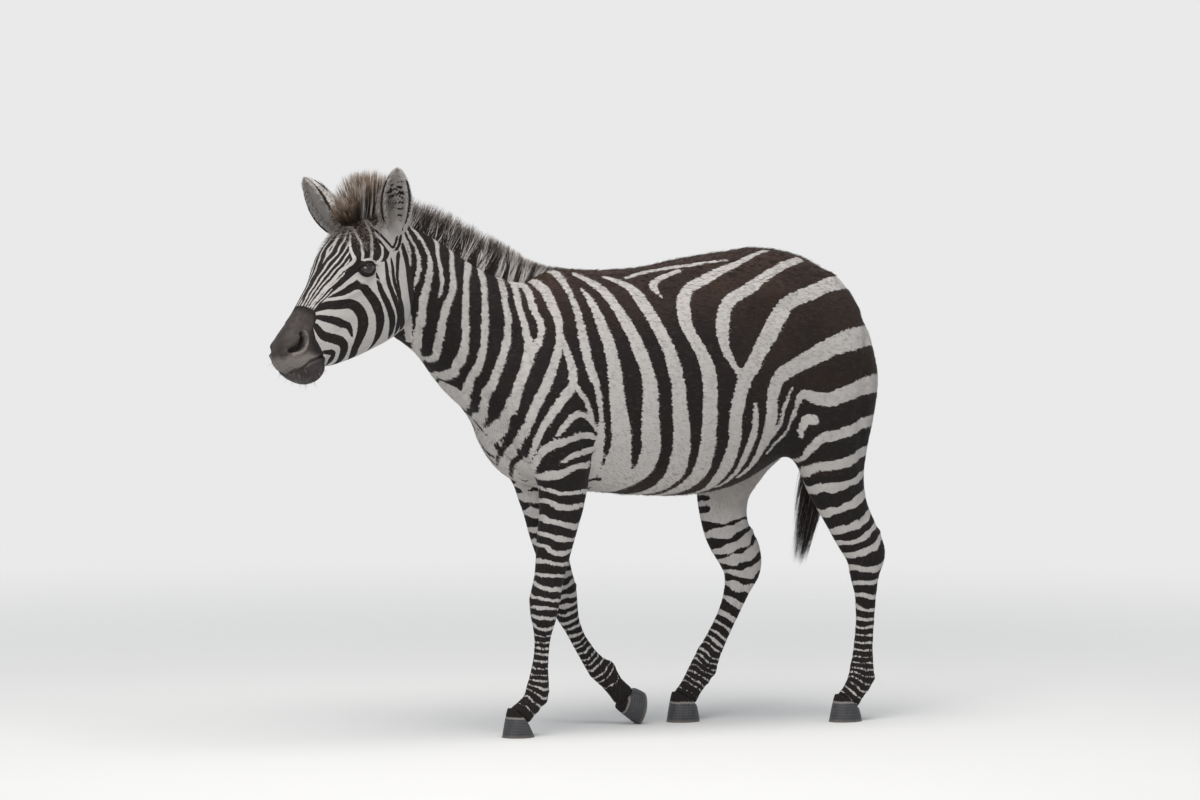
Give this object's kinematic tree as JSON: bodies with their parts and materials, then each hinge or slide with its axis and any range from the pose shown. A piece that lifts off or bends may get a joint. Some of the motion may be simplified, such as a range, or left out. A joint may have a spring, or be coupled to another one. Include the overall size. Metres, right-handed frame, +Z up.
{
  "type": "zebra",
  "caption": "Young plains zebra, life size, caught in mid stride with one forefoot raised: striped coat, upright mane, tufted tail and dark muzzle.",
  "frame": {"origin": "on the floor, under the middle of the figure's box", "axes": "+Z up, -X towards the muzzle, -Y towards the animal's left side"},
  "size_m": [1.7382, 0.44, 1.4543],
  "materials": {
    "hide": "short striped fur, dark brown on warm white",
    "mane_hair": "stiff upright hair, banded, brown at the tips",
    "tail_hair": "long coarse dark hair",
    "eye": "wet dark brown",
    "hoof": "slate-grey horn with faint growth rings"
  },
  "bodies": {
    "root": {"trunk": "hide", "neck": "hide", "head": "hide", "ear_left": "hide", "ear_right": "hide", "tail_dock": "hide", "foreleg_left_upper": "hide", "foreleg_left_cannon": "hide", "foreleg_left_pastern": "hide", "hindleg_left_thigh": "hide", "hindleg_left_gaskin": "hide", "hindleg_left_cannon": "hide", "hindleg_left_pastern": "hide", "foreleg_right_upper": "hide", "foreleg_right_cannon": "hide", "foreleg_right_pastern": "hide", "hindleg_right_thigh": "hide", "hindleg_right_gaskin": "hide", "hindleg_right_cannon": "hide", "hindleg_right_pastern": "hide", "mane": "mane_hair", "forelock": "mane_hair", "tail_tuft": "tail_hair", "eye_left": "eye", "eye_right": "eye", "foreleg_left_hoof": "hoof", "foreleg_right_hoof": "hoof", "hindleg_left_hoof": "hoof", "hindleg_right_hoof": "hoof"}
  },
  "joints": []
}
